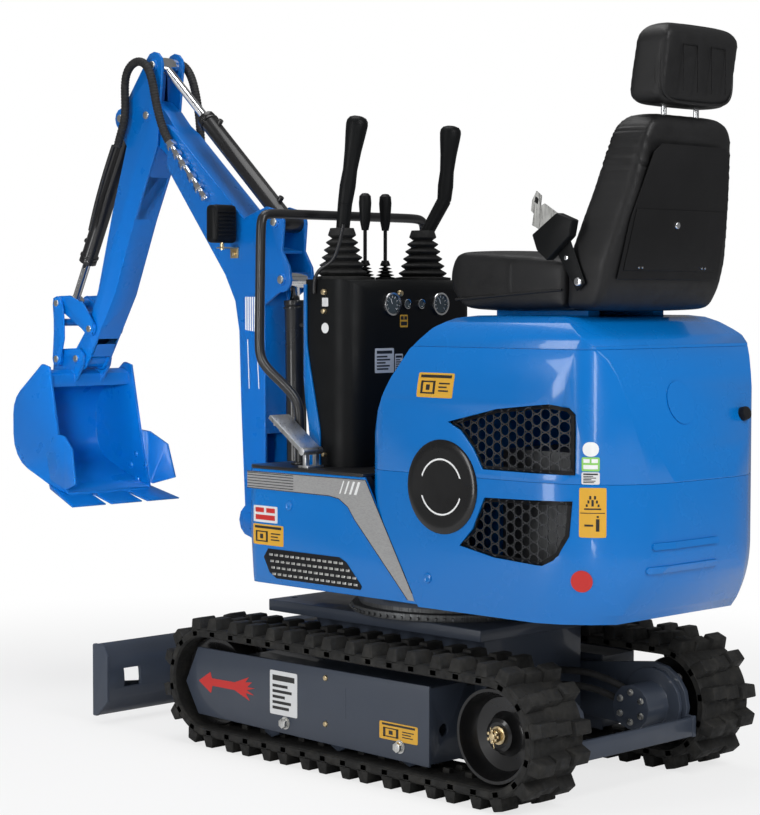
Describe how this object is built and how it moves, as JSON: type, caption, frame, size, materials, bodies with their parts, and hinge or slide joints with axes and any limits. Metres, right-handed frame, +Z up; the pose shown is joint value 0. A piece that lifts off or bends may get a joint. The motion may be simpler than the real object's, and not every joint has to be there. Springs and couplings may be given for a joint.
{
  "type": "mini excavator",
  "caption": "Compact tracked digger with an open operator's seat, lever console, folding boom and arm, toothed digging bucket and a front dozer blade.",
  "frame": {"origin": "On the ground under the middle of the whole machine's box, in the middle between the tracks.", "axes": "+X points forward, the way the blade and the bucket lie, +Y to the operator's left, +Z up."},
  "size_m": [2.441, 0.81, 1.854],
  "materials": {
    "barrel_black": "satin black enamel",
    "black_paint": "satin black powder coat",
    "black_plastic": "textured black plastic",
    "boom_paint": "blue enamel, slightly darker",
    "cast_black": "black painted casting",
    "cast_iron": "bare casting",
    "chassis_paint": "slate grey enamel",
    "chrome_rod": "hard chrome",
    "grip_rubber": "soft black rubber",
    "hood_paint": "gloss blue enamel",
    "pedal_aluminium": "brushed aluminium",
    "seat_leather": "black leatherette",
    "track_rubber": "moulded black rubber"
  },
  "bodies": {
    "base": {"centre_frame": "chassis_paint", "slew_ring": "cast_iron", "rear_crossbar": "chassis_paint", "track_left": "track_rubber", "track_right": "track_rubber", "track_frame_left": "chassis_paint", "track_frame_right": "chassis_paint", "sprocket_left": "cast_black", "sprocket_right": "cast_black", "idler_left": "cast_black", "idler_right": "cast_black", "travel_motor_left": "chassis_paint", "travel_motor_right": "chassis_paint"},
    "blade": {"dozer_blade": "chassis_paint"},
    "blade_barrel": {"blade_cylinder_barrel": "barrel_black"},
    "blade_rod": {"blade_cylinder_rod": "chrome_rod"},
    "house": {"revolving_deck": "chassis_paint", "boom_bracket": "boom_paint", "floor_plate": "black_paint", "lower_hood": "hood_paint", "upper_hood": "hood_paint", "engine_block": "cast_iron", "console_shell": "black_plastic", "console_cowl": "hood_paint", "handrail": "black_paint", "foot_pedal": "pedal_aluminium", "side_panel_left": "hood_paint", "side_panel_right": "hood_paint", "upper_grille_left": "black_plastic", "upper_grille_right": "black_plastic", "lower_grille_left": "black_plastic", "lower_grille_right": "black_plastic", "hood_badge_left": "black_plastic", "hood_badge_right": "black_plastic", "small_lever_left": "grip_rubber", "small_lever_right": "grip_rubber", "joystick_left": "grip_rubber", "joystick_right": "grip_rubber"},
    "seat": {"seat_deck": "hood_paint", "seat_cushion": "seat_leather", "seat_back": "seat_leather", "headrest": "seat_leather", "belt_buckle": "black_plastic"},
    "boom": {"boom": "boom_paint", "work_light": "black_plastic"},
    "boom_barrel": {"boom_cylinder_barrel": "barrel_black"},
    "boom_rod": {"boom_cylinder_rod": "chrome_rod"},
    "arm": {"arm": "boom_paint"},
    "arm_barrel": {"arm_cylinder_barrel": "barrel_black"},
    "arm_rod": {"arm_cylinder_rod": "chrome_rod"},
    "bucket": {"bucket": "boom_paint"},
    "bucket_barrel": {"bucket_cylinder_barrel": "barrel_black"},
    "bucket_rod": {"bucket_cylinder_rod": "chrome_rod"},
    "guide_link": {"guide_link": "boom_paint"},
    "bucket_link": {"bucket_link": "boom_paint"}
  },
  "joints": [
    {"name": "slew", "type": "hinge", "parent": "base", "child": "house", "pos_m": [-0.4355, 0, 0.37], "axis": [0, 0, 1], "continuous": true},
    {"name": "blade_lift", "type": "hinge", "parent": "base", "child": "blade", "pos_m": [-0.0055, 0, 0.17], "axis": [0, -1, 0], "range_deg": [-17, 22]},
    {"name": "blade_cylinder_swing", "type": "hinge", "parent": "base", "child": "blade_barrel", "pos_m": [-0.0355, 0, 0.29], "axis": [0, -1, 0], "range_deg": [-14.6, 18.9]},
    {"name": "blade_cylinder_stroke", "type": "slide", "parent": "blade_barrel", "child": "blade_rod", "axis": [0.9765, 0, -0.2154], "range_m": [-0.0431, 0.0333]},
    {"name": "boom_lift", "type": "hinge", "parent": "house", "child": "boom", "pos_m": [0.2545, 0, 0.545], "axis": [0, -1, 0], "range_deg": [-80, 3]},
    {"name": "boom_cylinder_swing", "type": "hinge", "parent": "house", "child": "boom_barrel", "pos_m": [0.1295, 0, 0.585], "axis": [0, -1, 0], "range_deg": [-76.5, 2.9]},
    {"name": "boom_cylinder_stroke", "type": "slide", "parent": "boom_barrel", "child": "boom_rod", "axis": [0.0194, 0, 0.9998], "range_m": [-0.0063, 0.1649]},
    {"name": "arm_swing", "type": "hinge", "parent": "boom", "child": "arm", "pos_m": [0.7145, 0, 1.675], "axis": [0, 1, 0], "range_deg": [-60, 25]},
    {"name": "arm_cylinder_swing", "type": "hinge", "parent": "boom", "child": "arm_barrel", "pos_m": [0.1695, 0, 1.357], "axis": [0, 1, 0], "range_deg": [-2.9, 1.25]},
    {"name": "arm_cylinder_stroke", "type": "slide", "parent": "arm_barrel", "child": "arm_rod", "axis": [0.7472, 0, 0.6646], "range_m": [-0.1369, 0.0571]},
    {"name": "bucket_curl", "type": "hinge", "parent": "arm", "child": "bucket", "pos_m": [1.0395, 0, 0.971], "axis": [0, 1, 0], "range_deg": [-35, 100]},
    {"name": "guide_swing", "type": "hinge", "parent": "arm", "child": "guide_link", "pos_m": [0.9765, 0, 1.061], "axis": [0, 1, 0], "range_deg": [-16.7, 47.5]},
    {"name": "bucket_link_swing", "type": "hinge", "parent": "guide_link", "child": "bucket_link", "pos_m": [1.1195, 0, 1.137], "axis": [0, 1, 0], "range_deg": [-11.7, 4.1]},
    {"name": "bucket_cylinder_swing", "type": "hinge", "parent": "arm", "child": "bucket_barrel", "pos_m": [0.8345, 0, 1.673], "axis": [0, 1, 0], "range_deg": [-1, 2.9]},
    {"name": "bucket_cylinder_stroke", "type": "slide", "parent": "bucket_barrel", "child": "bucket_rod", "axis": [0.4695, 0, -0.8829], "range_m": [-0.0437, 0.1247]},
    {"name": "seat_tilt", "type": "hinge", "parent": "house", "child": "seat", "pos_m": [-0.5855, 0, 1.052], "axis": [0, 1, 0], "range_deg": [0, 40]}
  ],
  "couplings": [
    {"joint": "blade_cylinder_swing", "follows": "blade_lift", "ratio": 0.8522},
    {"joint": "blade_cylinder_stroke", "follows": "blade_lift", "m_per_rad": -0.11196},
    {"joint": "boom_cylinder_swing", "follows": "boom_lift", "ratio": 0.9547},
    {"joint": "boom_cylinder_stroke", "follows": "boom_lift", "m_per_rad": -0.11797},
    {"joint": "arm_cylinder_swing", "follows": "arm_swing", "ratio": 0.0481},
    {"joint": "arm_cylinder_stroke", "follows": "arm_swing", "m_per_rad": 0.13058},
    {"joint": "guide_swing", "follows": "bucket_curl", "ratio": 0.4743},
    {"joint": "bucket_link_swing", "follows": "bucket_curl", "ratio": -0.1167},
    {"joint": "bucket_cylinder_swing", "follows": "bucket_curl", "ratio": 0.0284},
    {"joint": "bucket_cylinder_stroke", "follows": "bucket_curl", "m_per_rad": 0.07141}
  ]
}
